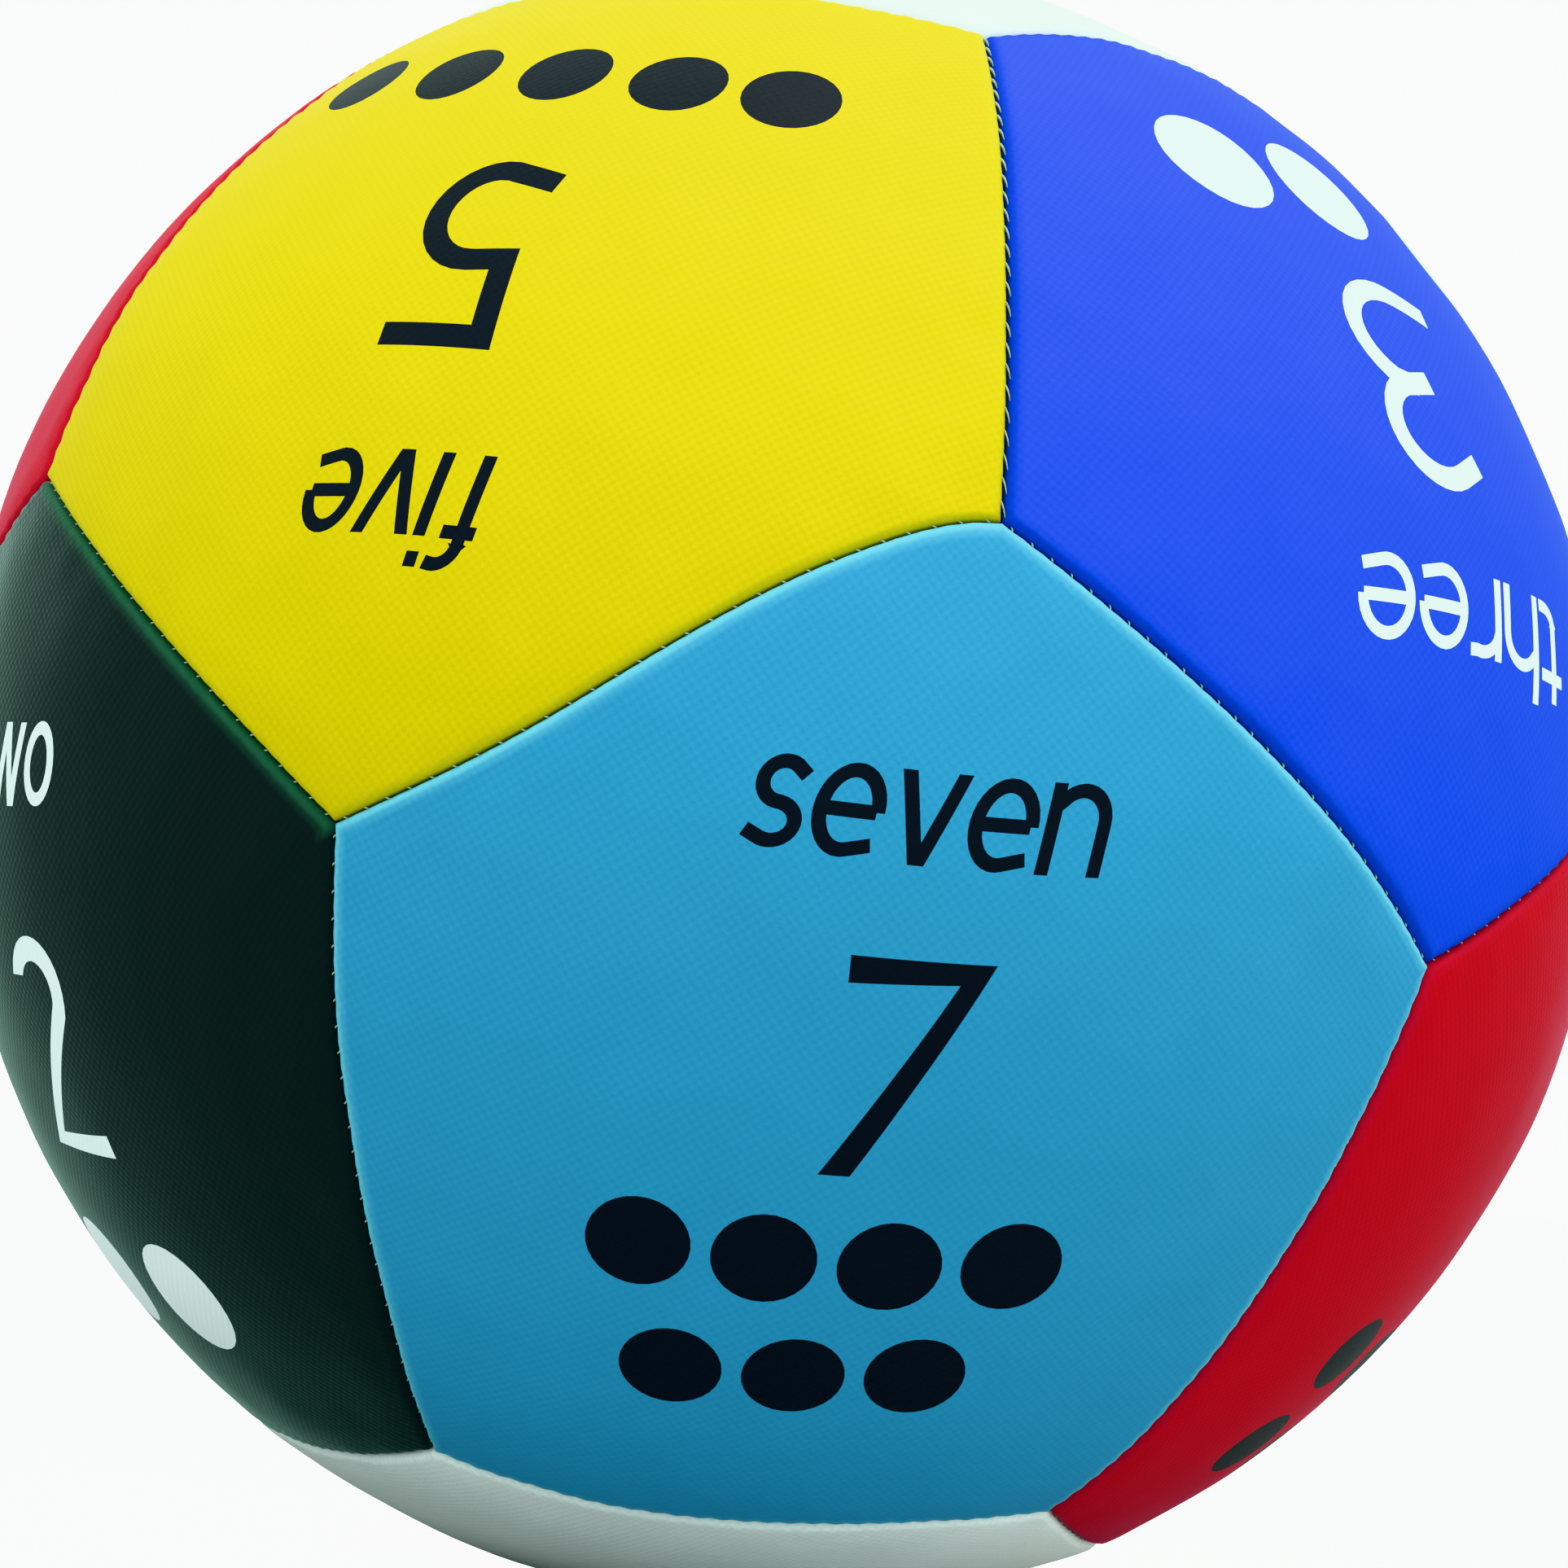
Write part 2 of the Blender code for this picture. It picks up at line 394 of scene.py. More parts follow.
def arc(x, y, rx, ry, start, end):
    """Points on an ellipse between two angles in degrees."""
    count = max(3, round(abs(end - start) / ARC_STEP))
    turns = [math.radians(start + (end - start) * i / count) for i in range(count + 1)]
    return [(x + rx * math.cos(t), y + ry * math.sin(t)) for t in turns]


def ring(x, y, rx, ry):
    """A closed ellipse: its last point is its first."""
    return arc(x, y, rx, ry, 0, 360)


ARCH = [(0, 0.74), *arc(0.29, 0.58, 0.29, 0.35, 140, 0), (0.58, 0)]
BOWL = ring(0.30, 0.5, 0.30, 0.43)

# Plain stroke letters. The middle lines of the strokes, with an x-height of 1.
LETTERS = {
    "e": [[(0.01, 0.50), (0.60, 0.50)], [*arc(0.31, 0.5, 0.30, 0.43, 0, 285), (0.62, 0.15)]],
    "f": [
        [(0.17, 0), (0.17, 1.06), *arc(0.40, 1.06, 0.23, 0.25, 180, 85), (0.52, 1.29)],
        [(0, 0.93), (0.42, 0.93)],
    ],
    "g": [BOWL, [(0.60, 1), (0.60, -0.05), *arc(0.31, -0.05, 0.29, 0.28, 0, -150)]],
    "h": [[(0, 0), (0, 1.34)], ARCH],
    "i": [[(0, 0), (0, 1)], [(0, 1.18), (0, 1.36)]],
    "l": [[(0, 0), (0, 1.36)]],
    "n": [[(0, 0), (0, 1)], ARCH],
    "o": [BOWL],
    "r": [[(0, 0), (0, 1)], [(0, 0.66), *arc(0.28, 0.62, 0.28, 0.31, 150, 75), (0.46, 0.93)]],
    "s": [
        [
            (0.50, 0.80),
            *arc(0.27, 0.71, 0.21, 0.22, 60, 262),
            *arc(0.26, 0.28, 0.23, 0.21, 82, -110),
            (0, 0.16),
        ]
    ],
    "t": [
        [(0.20, 1.24), (0.20, 0.28), *arc(0.42, 0.28, 0.22, 0.21, 180, 270), (0.52, 0.07)],
        [(0, 0.93), (0.50, 0.93)],
    ],
    "u": [
        [(0, 1), (0, 0.42), *arc(0.29, 0.42, 0.29, 0.35, 180, 320), (0.58, 0.26)],
        [(0.58, 0), (0.58, 1)],
    ],
    "v": [[(0, 1), (0.27, 0.07), (0.33, 0.07), (0.60, 1)]],
    "w": [
        [
            (0, 1),
            (0.20, 0.07),
            (0.26, 0.07),
            (0.44, 0.93),
            (0.50, 0.93),
            (0.68, 0.07),
            (0.74, 0.07),
            (0.94, 1),
        ]
    ],
    "x": [[(0, 0), (0.58, 1)], [(0, 1), (0.58, 0)]],
}

# Plain stroke numerals, with a height of 1.
DIGITS = {
    "0": [ring(0.29, 0.5, 0.26, 0.45)],
    "1": [[(0.27, 0), (0.27, 1)], [(0.27, 0.93), (0.05, 0.77)]],
    "2": [[*arc(0.37, 0.76, 0.205, 0.19, 160, -25), (0.04, 0.055), (0.61, 0.055)]],
    "3": [
        [(0.045, 0.82), *arc(0.335, 0.735, 0.25, 0.213, 125, -60), (0.25, 0.49)],
        [(0.36, 0.53), *arc(0.34, 0.30, 0.305, 0.245, 65, -100), (0.04, 0.09)],
    ],
    "4": [[(0.44, 0), (0.44, 1)], [(0.42, 0.96), (0.04, 0.29), (0.62, 0.29)]],
    "5": [
        [
            (0.54, 0.95),
            (0.055, 0.95),
            (0.085, 0.55),
            (0.25, 0.561),
            *arc(0.27, 0.305, 0.235, 0.256, 80, -110),
            (0, 0.11),
        ]
    ],
    "6": [ring(0.30, 0.30, 0.26, 0.25), arc(0.60, 0.34, 0.56, 0.61, 184, 98)],
    "7": [[(0, 0.94), (0.56, 0.94), (0.035, 0)]],
    "8": [ring(0.30, 0.74, 0.21, 0.21), ring(0.30, 0.28, 0.26, 0.23)],
    "9": [ring(0.30, 0.70, 0.26, 0.25), arc(0.0, 0.66, 0.56, 0.61, 4, -82)],
}

WORD_STROKE = 1.45  # mm wide
NUMERAL_STROKE = 2.8
SLANT = math.tan(math.radians(9))  # of the words; the numerals stand upright
LETTER_GAP = 0.07  # a share of the glyphs' height
DIGIT_GAP = 0.10
MITRE_LIMIT = 1.5
LEAST_MITRE_COSINE = 0.1
LEVEL_CUT = 0.7  # strokes steeper than this are cut off level
OUTLINE_STEP = 1.2  # longest side of a print's outline
SAG_SPAN = 30.0  # a row's ends hang lower by its sag this far from its middle


def ribbon(line, half):
    """The outline of a stroke: one loop, or two that turn opposite ways for a closed line."""
    points = [Vector(p) for p in line]
    closed = (points[0] - points[-1]).length < 1e-6
    if closed:
        points.pop()
    count = len(points)
    sides = ([], [])
    for i, point in enumerate(points):
        before = points[i] - points[i - 1] if closed or i else points[1] - points[0]
        after = points[(i + 1) % count] - point if closed or i < count - 1 else before
        left = [Vector((-d.y, d.x)).normalized() for d in (before, after)]
        across = (left[0] + left[1]).normalized()
        across *= half * min(1 / max(across.dot(left[0]), LEAST_MITRE_COSINE), MITRE_LIMIT)
        run = before.normalized()
        if not closed and i in (0, count - 1) and abs(run.y) > LEVEL_CUT:
            across -= run * (across.y / run.y)
        sides[0].append(point + across)
        sides[1].append(point - across)
    return [sides[0], sides[1][::-1]] if closed else [sides[0] + sides[1][::-1]]


def lettering(text, table, height, stroke, gap, slant=0.0, widen=1.0):
    """A line of glyphs, as strokes of loops in mm, standing on (0, 0) and centred over it."""
    strokes, x = [], 0.0
    for glyph in text:
        lines = [[(px * widen, py) for px, py in line] for line in table[glyph]]
        made = [ribbon(line, stroke / height / 2) for line in lines]
        xs = [p.x for loops in made for loop in loops for p in loop]
        shift = Vector((x - min(xs), 0))
        strokes += [[[p + shift for p in loop] for loop in loops] for loops in made]
        x += max(xs) - min(xs) + gap
    middle = (x - gap) / 2
    return [
        [[Vector((p.x - middle + slant * (p.y - 0.5), p.y)) * height for p in loop] for loop in loops]
        for loops in strokes
    ]


def dots(count, pitch, diameter, growth, sag):
    """A centred row of dots whose pitch may grow along it, and whose ends may hang lower."""
    middle, r = (count - 1) / 2, diameter / 2
    row = []
    for i in range(count):
        x = pitch * (i - middle) * (1 + growth * (i - middle) / 2)
        row.append([[Vector(p) for p in ring(x, -sag * (x / SAG_SPAN) ** 2, r, r)[:-1]]])
    return row


def placed(strokes, x, y, tilt):
    """The strokes turned by the tilt and moved to their place."""
    turn = Matrix.Rotation(math.radians(tilt), 2)
    at = Vector((x, y))
    return [[[turn @ p + at for p in loop] for loop in loops] for loops in strokes]


class Print:
    """How a panel is printed, in mm and degrees on its flat map."""

    def __init__(self, apex, word, numeral, rows, dot, pitch, widen=1.0, growth=0.0, sag=0.0):
        self.apex = apex  # the corner that the print stands towards
        self.word = word  # x, y and tilt of the middle of its baseline, and its x-height
        self.numeral = numeral  # the same, with its whole height
        self.rows = rows  # x, y, tilt and number of dots
        self.dot = dot  # diameter
        self.pitch = pitch  # from dot to dot
        self.widen = widen  # of the word's letters
        self.growth = growth  # of the pitch along a row
        self.sag = sag  # of a row's ends


# The stuffing stretches each print a little off square, and each in its own way.
PRINT = {
    1: Print((1, 2, 10), (0, 28, 0, 9), (0, -11, 0, 24), ((0, -28, 0, 1),), 15, 0),
    2: Print((2, 4, 5), (6.3, 27.2, 0, 9), (6, -12.9, 0, 25.6), ((1.5, -31.2, -2, 2),), 15, 21),
    3: Print(
        apex=(3, 7, 9),
        word=(-2, 19.2, 3.8, 9.4),
        numeral=(2, -16.4, 0, 26.8),
        rows=((1.5, -31.4, 3.7, 3),),
        dot=15.5,
        pitch=23.4,
        widen=1.32,
        growth=-0.436,
    ),
    4: Print((2, 4, 10), (0, 27, -2, 9), (0.5, -11, -1, 25), ((0, -30, 1, 4),), 13, 16),
    5: Print(
        apex=(2, 5, 7),
        word=(-1.2, 26.3, 1.5, 9),
        numeral=(-0.2, -10.1, 0.5, 24.4),
        rows=((1, -26.1, -3.9, 5),),
        dot=10.8,
        pitch=14.5,
        growth=0.085,
        sag=2.6,
    ),
    6: Print((6, 8, 10), (1, 30.5, 2, 9), (0, -1, 1, 23), ((0, -13, 2, 3), (0, -28, 3, 3)), 11, 13.5),
    7: Print(
        apex=(3, 5, 7),
        word=(-2.3, 31.4, 4.5, 9.2),
        numeral=(1.5, -0.8, 6.5, 23.2),
        rows=((-2.8, -11.8, 6.5, 4), (-2.5, -27.1, 9, 3)),
        dot=10.8,
        pitch=12.8,
        widen=1.04,
    ),
    8: Print(
        apex=(6, 8, 11),
        word=(0, 31, -2, 9),
        numeral=(1, -1, -2, 23),
        rows=((0.5, -12.5, -1, 4), (0.5, -27.5, 0, 4)),
        dot=11,
        pitch=13,
    ),
    9: Print((3, 9, 11), (0, 31, 0, 9), (0, -3, 0, 23), ((3.5, -18.2, 0, 5), (-1, -33.6, 0, 4)), 11, 14.3),
    10: Print((4, 6, 10), (0, 31, 1, 9), (0, -1, 2, 23), ((0, -13, 1, 5), (0, -28, 0, 5)), 10.5, 13),
    11: Print((8, 9, 11), (0, 31, -1, 8.6), (0, -1, 0, 23), ((0, -13, 0, 6), (0, -27.5, 0, 5)), 9.6, 12),
    12: Print((3, 11, 12), (0, 30.5, 0, 8.2), (0, -1, 0, 23), ((0, -12, 0, 6), (0, -25.5, 0, 6)), 9, 11),
}


def print_strokes(number):
    """Everything printed on a panel, as strokes of loops on its flat map."""
    plan = PRINT[number]
    *word_at, x_height = plan.word
    *numeral_at, height = plan.numeral
    word = lettering(PANELS[number][0], LETTERS, x_height, WORD_STROKE, LETTER_GAP, SLANT, plan.widen)
    numeral = lettering(str(number), DIGITS, height, NUMERAL_STROKE, DIGIT_GAP)
    strokes = placed(word, *word_at) + placed(numeral, *numeral_at)
    for *at, count in plan.rows:
        strokes += placed(dots(count, plan.pitch, plan.dot, plan.growth, plan.sag), *at)
    return strokes


def winding(p, loop):
    """How many times a loop goes round a point, anticlockwise."""
    turns = 0
    for a, b in zip(loop, loop[1:] + loop[:1]):
        if (a.y > p.y) != (b.y > p.y) and p.x < a.x + (p.y - a.y) * (b.x - a.x) / (b.y - a.y):
            turns += 1 if b.y > a.y else -1
    return turns


def box_of(loops):
    """The least x, least y, greatest x and greatest y of the loops' points."""
    xs = [p.x for loop in loops for p in loop]
    ys = [p.y for loop in loops for p in loop]
    return min(xs), min(ys), max(xs), max(ys)


def subdivided(loop):
    """The loop with no side longer than the outline step."""
    fine = []
    for a, b in zip(loop, loop[1:] + loop[:1]):
        count = max(1, math.ceil((b - a).length / OUTLINE_STEP))
        fine += [a.lerp(b, i / count) for i in range(count)]
    return fine


# ---------------------------------------------------------------- materials


class Nodes:
    """A short way to build a material's node tree."""

    def __init__(self, name):
        self.material = bpy.data.materials.new(name)
        self.material.use_nodes = True
        self.tree = self.material.node_tree
        self.shader = self.tree.nodes["Principled BSDF"]

    def add(self, kind, **settings):
        node = self.tree.nodes.new("ShaderNode" + kind)
        for key, value in settings.items():
            setattr(node, key, value)
        return node

    def link(self, source, socket):
        self.tree.links.new(source, socket)

    def math(self, operation, *values):
        """A Math node's output. Each value is a number or another node's output."""
        node = self.add("Math", operation=operation)
        for socket, value in zip(node.inputs, values):
            if hasattr(value, "is_output"):
                self.link(value, socket)
            else:
                socket.default_value = value
        return node.outputs[0]

    def noise(self, coordinates, scale, detail=2.0):
        node = self.add("TexNoise")
        node.inputs["Scale"].default_value = scale
        node.inputs["Detail"].default_value = detail
        self.link(coordinates, node.inputs["Vector"])
        return node.outputs["Fac"]

    def ramp(self, factor, start, end):
        """The shader's colour runs from one colour to another with the factor."""
        node = self.add("ValToRGB")
        node.color_ramp.elements[0].color = start
        node.color_ramp.elements[1].color = end
        self.link(factor, node.inputs[0])
        self.link(node.outputs[0], self.shader.inputs["Base Color"])

    def bump(self, height, strength, distance):
        """The shader's normal follows a height, whose unit is the distance in mm."""
        node = self.add("Bump")
        node.inputs["Strength"].default_value = strength
        node.inputs["Distance"].default_value = distance * MM
        self.link(height, node.inputs["Height"])
        self.link(node.outputs[0], self.shader.inputs["Normal"])


def linear(r, g, b):
    """An sRGB colour, 0 to 255, as linear light."""

    def one(c):
        c /= 255
        return c / 12.92 if c <= 0.04045 else ((c + 0.055) / 1.055) ** 2.4

    return (one(r), one(g), one(b), 1)


# The weave. Coordinates on the cloth are in mm, so a scale is in turns per mm.
WEAVE_PITCH = 0.62  # mm from thread to thread
THREAD_HEIGHT = 0.035  # mm
THREAD_BUMP = 0.7
YARN_SCALE = 2.6
YARN_HEIGHT = 0.9
CROSSING_HEIGHT = 0.5
CROSSING_SHADE = 0.04
WOBBLE_SCALE = 1.3
WOBBLE = 0.25  # mm a thread strays from its straight line
MOTTLE_SCALE = 0.09
ROUGHNESS_RANGE = 0.2
CLOTH_SPECULAR = 0.15

# Thread and fibre. Their coordinates are in metres, so a scale is in turns per metre.
THREAD_SCALE = 900.0
PLY_HEIGHT = 0.03  # mm
TUFT_SCALE = 120.0
STRAND_SCALE = 1400.0
TUFT_HEIGHT = 0.8  # mm

CLOTH_COLOURS = {
    "white": (0.86, 0.86, 0.87, 1),
    "green": (0.009, 0.012, 0.013, 1),
    "blue": (0.0002, 0.045, 0.61, 1),
    "red": (0.45, 0.0005, 0.008, 1),
    "yellow": (0.55, 0.405, 0.0002, 1),
    "cyan": (0.045, 0.25, 0.465, 1),
}
# Painted light and shade on the rolled fold along the seams: lighter on the cyan and green as a painted
# highlight, darker on the blue, red and white as painted shade. Its colour, and how far it takes over.
PAINTED_EDGE_LIGHT_SHADE = {
    "white": ((0.80, 0.84, 0.86, 1), 0.5),
    "green": ((0.022, 0.080, 0.046, 1), 0.9),
    "blue": ((0.0005, 0.020, 0.34, 1), 0.6),
    "red": ((0.40, 0.010, 0.030, 1), 0.6),
    "yellow": ((0.50, 0.42, 0.02, 1), 0.5),
    "cyan": ((0.16, 0.50, 0.64, 1), 0.8),
}
INKS = {"dark": (0.006, 0.006, 0.012, 1), "pale": (0.80, 0.83, 0.86, 1)}

# The cloth's fuzz: how much, how widely it glows, and its tint.
PLAIN_SHEEN = (0.1, 0.3, (1, 1, 1, 1))
INK_SHEEN = (0.05, 0.3, (1, 1, 1, 1))
SHEEN = {
    "white": (0.1, 0.3, (1, 1, 1, 1)),
    "green": (0.45, 0.3, (0.7, 1, 0.9, 1)),
    "blue": (0.05, 0.25, (0.3, 0.8, 1, 1)),
    "red": (0.12, 0.25, (0.9, 0.5, 1, 1)),
    "yellow": (0.05, 0.3, (1, 1, 1, 1)),
    "cyan": (0.12, 0.3, (0.9, 1, 1, 1)),
}


def cloth(name, colour, sheen=PLAIN_SHEEN, rough=0.78, weave=1.0, variation=0.10, edge=None):
    """Plain-woven cloth: over-and-under threads, uneven yarn, faint mottling, and fuzz.

    `weave` is how deep the weave is, `variation` how far the shade varies, and `edge` the
    colour of the painted light and shade on the rolled fold, with its share.
    """
    n = Nodes(name)
    uv = n.add("UVMap", uv_map="cloth").outputs["UV"]
    split = n.add("SeparateXYZ")
    n.link(uv, split.inputs[0])
    wobble = n.noise(uv, WOBBLE_SCALE)
    threads = []
    for axis in (0, 1):
        bent = n.math("MULTIPLY_ADD", wobble, WOBBLE, split.outputs[axis])
        threads.append(n.math("SINE", n.math("MULTIPLY", bent, math.pi / WEAVE_PITCH)))
    crossing = n.math("MULTIPLY", threads[0], threads[1])
    yarn = n.noise(uv, YARN_SCALE, 4.0)
    yarn_height = n.math("MULTIPLY", yarn, YARN_HEIGHT)
    height = n.math("MULTIPLY_ADD", crossing, CROSSING_HEIGHT * weave, yarn_height)
    n.bump(height, THREAD_BUMP, THREAD_HEIGHT)

    mottle = n.noise(uv, MOTTLE_SCALE, 3.0)
    value = n.math("MULTIPLY_ADD", mottle, variation, 1 - variation / 2)
    value = n.math("MULTIPLY_ADD", yarn, variation, n.math("SUBTRACT", value, variation / 2))
    value = n.math("MULTIPLY_ADD", crossing, CROSSING_SHADE, value)
    tint = n.add("HueSaturation")
    tint.inputs["Color"].default_value = colour
    # painted light and shade on the rolled fold along the seams, mixed over the cloth's own colour
    if edge:
        edge_colour, share = edge
        painted_edge_light_shade = n.add("Attribute", attribute_name="painted_edge_light_shade").outputs["Fac"]
        painted_edge_colour_mix = n.add("Mix", data_type="RGBA")
        painted_edge_colour_mix.inputs["A"].default_value = colour
        painted_edge_colour_mix.inputs["B"].default_value = edge_colour
        n.link(n.math("MULTIPLY", painted_edge_light_shade, share), painted_edge_colour_mix.inputs["Factor"])
        n.link(painted_edge_colour_mix.outputs["Result"], tint.inputs["Color"])
    n.link(value, tint.inputs["Value"])
    n.link(tint.outputs[0], n.shader.inputs["Base Color"])
    roughness = n.math("MULTIPLY_ADD", yarn, ROUGHNESS_RANGE, rough - ROUGHNESS_RANGE / 2)
    n.link(roughness, n.shader.inputs["Roughness"])
    n.shader.inputs["Specular IOR Level"].default_value = CLOTH_SPECULAR
    n.shader.inputs["Sheen Weight"].default_value = sheen[0]
    n.shader.inputs["Sheen Roughness"].default_value = sheen[1]
    n.shader.inputs["Sheen Tint"].default_value = sheen[2]
    return n.material


def thread_material():
    """Pale cotton sewing thread with a two-ply twist."""
    n = Nodes("sewing_thread")
    place = n.add("TexCoord").outputs["Object"]
    fuzz = n.noise(place, THREAD_SCALE, 3.0)
    twist = n.add("TexWave", bands_direction="DIAGONAL")
    twist.inputs["Scale"].default_value = THREAD_SCALE
    twist.inputs["Distortion"].default_value = 1.5
    n.link(place, twist.inputs["Vector"])
    n.ramp(fuzz, linear(128, 142, 128), linear(192, 202, 188))
    n.bump(twist.outputs["Fac"], 0.6, PLY_HEIGHT)
    n.shader.inputs["Roughness"].default_value = 0.6
    n.shader.inputs["Sheen Weight"].default_value = 0.2
    return n.material


def fibre_material():
    """Loose white polyester fibre."""
    n = Nodes("polyester_fibre")
    place = n.add("TexCoord").outputs["Object"]
    tufts = n.noise(place, TUFT_SCALE, 6.0)
    strands = n.noise(place, STRAND_SCALE, 2.0)
    n.ramp(tufts, linear(214, 214, 210), linear(250, 250, 248))
    n.bump(n.math("MULTIPLY_ADD", strands, 0.3, tufts), 0.8, TUFT_HEIGHT)
    n.shader.inputs["Roughness"].default_value = 0.9
    n.shader.inputs["Sheen Weight"].default_value = 0.4
    return n.material


CLOTHS = {
    name: cloth(f"{name}_cloth", colour, SHEEN[name], edge=PAINTED_EDGE_LIGHT_SHADE[name])
    for name, colour in CLOTH_COLOURS.items()
}
INK = {
    name: cloth(f"{name}_ink", colour, INK_SHEEN, rough=0.6, weave=0.6, variation=0.06)
    for name, colour in INKS.items()
}
LINING = cloth("cloth_back", linear(222, 222, 216))
THREAD = thread_material()
FIBRE = fibre_material()

# ---------------------------------------------------------------- pieces

parts = bpy.data.collections.new("soft_number_ball")
bpy.context.scene.collection.children.link(parts)

PRINT_EDGE = 9.0  # the printed field starts this far from the seams
BORDER_RINGS = (PRINT_EDGE, 7.2, 5.6, 4.3, 3.2, 2.5, 1.9)  # distances from the seam
ROLL_STEP = 15  # degrees
SCALLOP = 0.07  # each stitch draws the cloth's edge down this much, and it rises between them
SCALLOP_FROM_SEAM, SCALLOP_REACH = 1, 4
GRID = 3.0  # spacing of the field's own points
GRID_REACH = 70  # more than a panel's half-width
GRID_CLEARANCE = 0.45  # from the outlines, as a share of the spacing
MERGE_DISTANCE = 1e-4
# Panels' edges that get no painted light or shade on their fold: each panel, and its neighbour there.
EDGES_UNPAINTED = {(2, 7), (2, 1), (2, 4)}
PAINTED_EDGE_WIDTH = 1.5  # of the strip of painted light and shade along a seam
PAINTED_EDGE_BLEND = 0.9


def edge_profile():
    """(distance from the seam, depth below the swell) of the rings from the field outwards."""
    steps = [(distance, 0) for distance in BORDER_RINGS]
    half = SEAM_GAP / 2
    for turn in range(0, 91, ROLL_STEP):
        t = math.radians(turn)
        steps.append((half + EDGE_ROLL * (1 - math.sin(t)), EDGE_ROLL * (1 - math.cos(t))))
    steps += [(half, EDGE_ROLL + ALLOWANCE / 2), (half, EDGE_ROLL + ALLOWANCE)]
    return steps


def in_stroke(p, box, loops):
    """Whether a point lies in a stroke, whose box is tried first."""
    x0, y0, x1, y1 = box
    return x0 <= p.x <= x1 and y0 <= p.y <= y1 and sum(winding(p, loop) for loop in loops) != 0


def field(axes, edge_ring, strokes):
    """Triangles of the printed field, in the ring that it joins.

    Returns its map points, its faces, whether each face is inked, and which points are the
    ring's, with their places in it.
    """
    rim = [to_map(v, axes) for v in edge_ring]
    points = list(rim)
    edges = [(i, (i + 1) % len(rim)) for i in range(len(rim))]
    for loops in strokes:
        for loop in loops:
            start = len(points)
            fine = subdivided(loop)
            points += fine
            edges += [(start + i, start + (i + 1) % len(fine)) for i in range(len(fine))]
    taken = kdtree.KDTree(len(points))
    for i, p in enumerate(points):
        taken.insert(p.to_3d(), i)
    taken.balance()
    reach = int(GRID_REACH / GRID)
    for row in range(-reach, reach + 1):
        for column in range(-reach, reach + 1):
            p = Vector(((column + row % 2 / 2) * GRID, row * GRID * math.sqrt(0.75)))
            if taken.find(p.to_3d())[2] > GRID * GRID_CLEARANCE and winding(p, rim):
                points.append(p)
    out, _, faces, known, _, _ = delaunay_2d_cdt(points, edges, [], 0, MERGE_DISTANCE)
    boxes = [(box_of(loops), loops) for loops in strokes]
    kept, inked = [], []
    for face in faces:
        middle = sum((out[i] for i in face), Vector((0, 0))) / len(face)
        if not winding(middle, rim):
            continue
        kept.append(face)
        inked.append(any(in_stroke(middle, box, loops) for box, loops in boxes))
    order = {}
    for i, origins in enumerate(known):
        for origin in origins:
            if origin < len(rim):
                order[i] = origin
    return out, kept, inked, order


